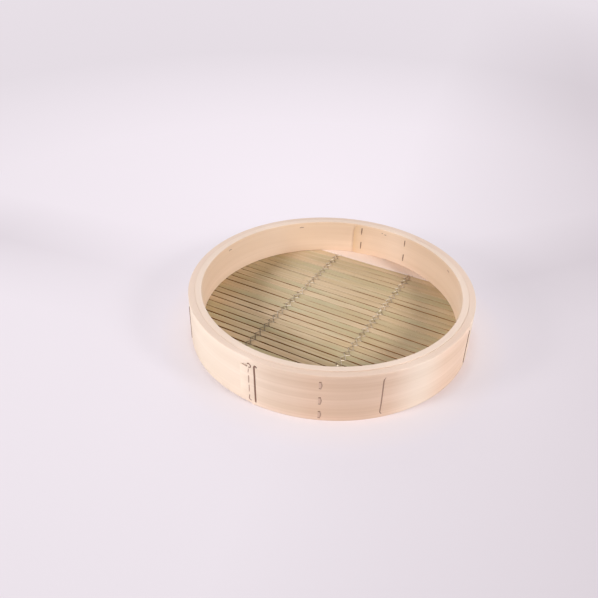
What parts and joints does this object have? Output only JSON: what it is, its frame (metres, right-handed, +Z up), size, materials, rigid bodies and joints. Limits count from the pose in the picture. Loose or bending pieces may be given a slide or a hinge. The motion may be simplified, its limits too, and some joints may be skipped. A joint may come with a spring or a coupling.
{
  "type": "steamer basket",
  "caption": "Round bent-wood steamer basket tier: sewn hoops for a wall round a slatted bamboo floor lashed with wire, open at the top.",
  "frame": {"origin": "centre of the base, on the plane that the basket stands on", "axes": "+Z up out of the mouth, the picture's camera on the -Y side, the outer lap at the front left"},
  "size_m": [0.42, 0.4203, 0.0756],
  "materials": {
    "hinoki": "planed, unfinished",
    "bamboo": "split and scraped, unfinished",
    "bark": "smooth bark strip",
    "steel_wire": "drawn wire"
  },
  "bodies": {
    "root": {"outer_hoop": "hinoki", "upper_inner_hoop": "hinoki", "lower_inner_hoop": "hinoki", "end_board_front": "hinoki", "end_board_rear": "hinoki", "slat_01": "bamboo", "slat_02": "bamboo", "slat_03": "bamboo", "slat_04": "bamboo", "slat_05": "bamboo", "slat_06": "bamboo", "slat_07": "bamboo", "slat_08": "bamboo", "slat_09": "bamboo", "slat_10": "bamboo", "slat_11": "bamboo", "slat_12": "bamboo", "slat_13": "bamboo", "slat_14": "bamboo", "slat_15": "bamboo", "slat_16": "bamboo", "slat_17": "bamboo", "slat_18": "bamboo", "slat_19": "bamboo", "slat_20": "bamboo", "slat_21": "bamboo", "slat_22": "bamboo", "slat_23": "bamboo", "slat_24": "bamboo", "slat_25": "bamboo", "slat_26": "bamboo", "crossbar_left": "bamboo", "crossbar_right": "bamboo", "lashing_wire_left": "steel_wire", "lashing_wire_right": "steel_wire", "long_stitch_1": "bark", "long_stitch_2": "bark", "long_stitch_3": "bark", "long_stitch_4": "bark", "long_stitch_5": "bark", "long_stitch_6": "bark", "long_stitch_7": "bark", "long_stitch_8": "bark", "outer_lap_stitch_tip": "bark", "outer_lap_stitch_root": "bark", "inner_lap_stitch_tip": "bark", "inner_lap_stitch_root": "bark", "lower_lap_stitch": "bark"}
  },
  "joints": []
}
